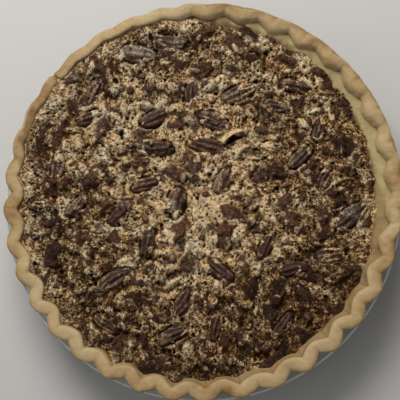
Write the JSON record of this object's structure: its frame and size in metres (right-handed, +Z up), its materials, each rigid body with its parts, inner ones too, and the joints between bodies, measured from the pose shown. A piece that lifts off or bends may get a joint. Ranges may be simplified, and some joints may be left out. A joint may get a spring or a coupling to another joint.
{
  "type": "pecan pie",
  "caption": "Whole open pecan pie in a clear glass dish: hand-fluted pale pastry rim, bubbly baked filling and pecan halves set in its top.",
  "frame": {"origin": "centre of the glass dish's flat base, on the surface it stands on", "axes": "+Z up out of the dish, +Y towards the side where the filling laps over the rim together with -X, +X towards the taller bare side of the rim"},
  "size_m": [0.24, 0.24, 0.05],
  "materials": {
    "clear_glass": "clear pressed glass, faint green tint, polished",
    "baked_pastry": "baked shortcrust pastry, dry and matt; stands for food",
    "baked_filling": "baked nut and syrup filling with a crisp bubbly skin; stands for food",
    "pecan_skin": "toasted nut skin with a slight syrup gloss; stands for food"
  },
  "bodies": {
    "root": {"pie_dish": "clear_glass", "crust": "baked_pastry", "filling": "baked_filling", "pecan_01": "pecan_skin", "pecan_02": "pecan_skin", "pecan_03": "pecan_skin", "pecan_04": "pecan_skin", "pecan_05": "pecan_skin", "pecan_06": "pecan_skin", "pecan_07": "pecan_skin", "pecan_08": "pecan_skin", "pecan_09": "pecan_skin", "pecan_10": "pecan_skin", "pecan_11": "pecan_skin", "pecan_12": "pecan_skin", "pecan_13": "pecan_skin", "pecan_14": "pecan_skin", "pecan_15": "pecan_skin", "pecan_16": "pecan_skin", "pecan_17": "pecan_skin", "pecan_18": "pecan_skin", "pecan_19": "pecan_skin", "pecan_20": "pecan_skin", "pecan_21": "pecan_skin", "pecan_22": "pecan_skin", "pecan_23": "pecan_skin", "pecan_24": "pecan_skin", "pecan_25": "pecan_skin", "pecan_26": "pecan_skin", "pecan_27": "pecan_skin", "pecan_28": "pecan_skin", "pecan_29": "pecan_skin", "pecan_30": "pecan_skin", "pecan_31": "pecan_skin", "pecan_32": "pecan_skin", "pecan_33": "pecan_skin", "pecan_34": "pecan_skin", "pecan_35": "pecan_skin"}
  },
  "joints": []
}
